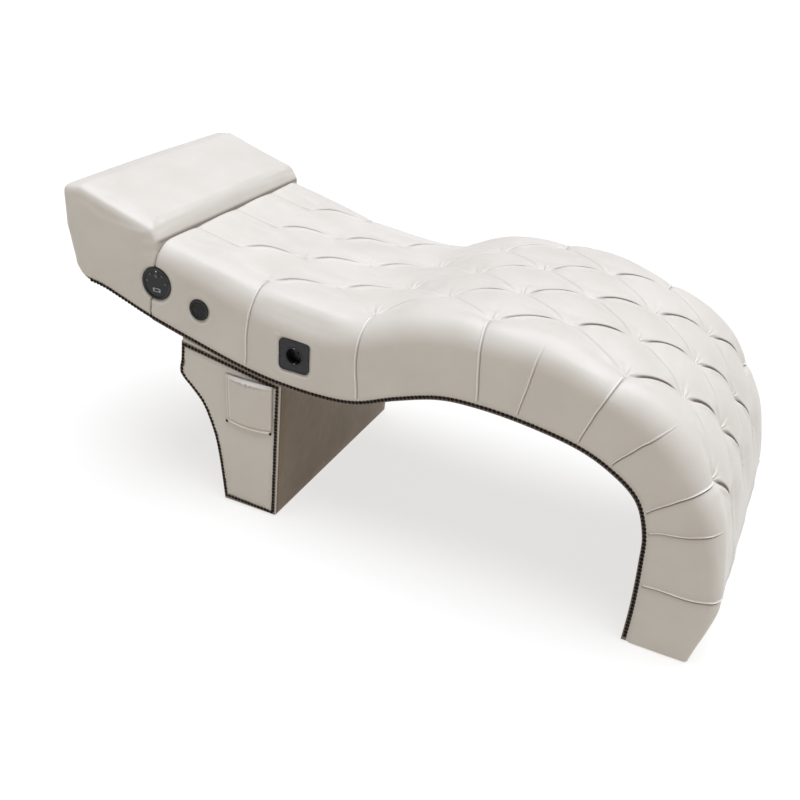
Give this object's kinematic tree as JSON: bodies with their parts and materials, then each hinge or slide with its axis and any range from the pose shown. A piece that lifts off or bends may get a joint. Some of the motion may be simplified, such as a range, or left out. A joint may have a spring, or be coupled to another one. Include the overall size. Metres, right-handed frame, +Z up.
{
  "type": "beauty treatment bed",
  "caption": "Wave-shaped tufted treatment bed with a raised headrest, a curved foot that reaches the floor, a padded pedestal with a pocket, nail trim and side controls.",
  "frame": {"origin": "on the floor, under the middle of the bed's box", "axes": "+X from the head end to the foot, +Y away from the side with the controls, +Z up"},
  "size_m": [1.6915, 0.6726, 0.7695],
  "materials": {
    "pearl_leather": "soft pearl-ivory upholstery leather with a satin sheen",
    "plywood": "bare birch plywood",
    "softwood": "planed softwood",
    "nail_metal": "black-bronze upholstery nails, half gloss",
    "glide_plastic": "matt black plastic",
    "panel_gloss": "gloss black plastic",
    "panel_rim": "satin charcoal plastic",
    "key_plastic": "satin dark grey plastic",
    "button_metal": "satin steel",
    "speaker_black": "matt black plastic",
    "socket_charcoal": "satin charcoal plastic",
    "steel": "zinc plated steel",
    "brass": "bright brass",
    "circuit_green": "green circuit board"
  },
  "bodies": {
    "bed": {"mattress": "pearl_leather", "headrest": "pearl_leather", "head_band": "pearl_leather", "side_cover_near": "pearl_leather", "side_cover_far": "pearl_leather", "underside_cover": "pearl_leather", "side_panel_near": "plywood", "side_panel_far": "plywood", "cross_rails": "softwood", "deck": "plywood", "headrest_deck": "plywood", "underside_panel": "plywood", "head_board": "plywood", "foot_sole": "plywood", "foot_glides": "glide_plastic", "nail_trim_near": "nail_metal", "nail_trim_far": "nail_metal", "pedestal_cover_near": "pearl_leather", "pedestal_cover_far": "pearl_leather", "pedestal_panel_near": "plywood", "pedestal_panel_far": "plywood", "pedestal_front_board": "plywood", "pedestal_back_board": "plywood", "pedestal_base": "plywood", "pedestal_top_plate": "pearl_leather", "pedestal_leather": "pearl_leather", "pedestal_nails_near": "nail_metal", "pedestal_nails_far": "nail_metal", "pedestal_glides": "glide_plastic", "pedestal_bolts": "steel", "tee_nuts": "steel", "pocket": "pearl_leather", "pocket_tacks": "nail_metal", "control_housing": "panel_rim", "control_bezel": "panel_rim", "control_face": "panel_gloss", "control_board": "circuit_green", "control_clamp_ring": "glide_plastic", "status_lens": "panel_gloss", "usb_port": "button_metal", "speaker_frame": "speaker_black", "speaker_grille": "speaker_black", "speaker_cone": "speaker_black", "speaker_magnet": "steel", "socket_plate": "socket_charcoal", "socket_insert": "socket_charcoal", "earth_clips": "steel", "socket_contacts": "brass", "shutter_spring": "steel", "socket_screw": "steel", "socket_box": "glide_plastic", "power_supply": "glide_plastic", "cable_gland": "glide_plastic"},
    "power": {"power_button": "button_metal"},
    "previous": {"previous_key": "key_plastic"},
    "volume_down": {"volume_down_key": "key_plastic"},
    "volume_up": {"volume_up_key": "key_plastic"},
    "next": {"next_key": "key_plastic"},
    "shutter": {"socket_shutter": "socket_charcoal"}
  },
  "joints": [
    {"name": "power_press", "type": "slide", "parent": "bed", "child": "power", "axis": [0, 1, 0], "range_m": [0, 0.001], "stiffness_N_per_m": 600},
    {"name": "previous_press", "type": "slide", "parent": "bed", "child": "previous", "axis": [0, 1, 0], "range_m": [0, 0.0008], "stiffness_N_per_m": 600},
    {"name": "volume_down_press", "type": "slide", "parent": "bed", "child": "volume_down", "axis": [0, 1, 0], "range_m": [0, 0.0008], "stiffness_N_per_m": 600},
    {"name": "volume_up_press", "type": "slide", "parent": "bed", "child": "volume_up", "axis": [0, 1, 0], "range_m": [0, 0.0008], "stiffness_N_per_m": 600},
    {"name": "next_press", "type": "slide", "parent": "bed", "child": "next", "axis": [0, 1, 0], "range_m": [0, 0.0008], "stiffness_N_per_m": 600},
    {"name": "shutter_turn", "type": "hinge", "parent": "bed", "child": "shutter", "pos_m": [-0.19238, -0.31, 0.476], "axis": [0, -1, 0], "range_deg": [0, 45], "stiffness_Nm_per_rad": 0.004}
  ]
}
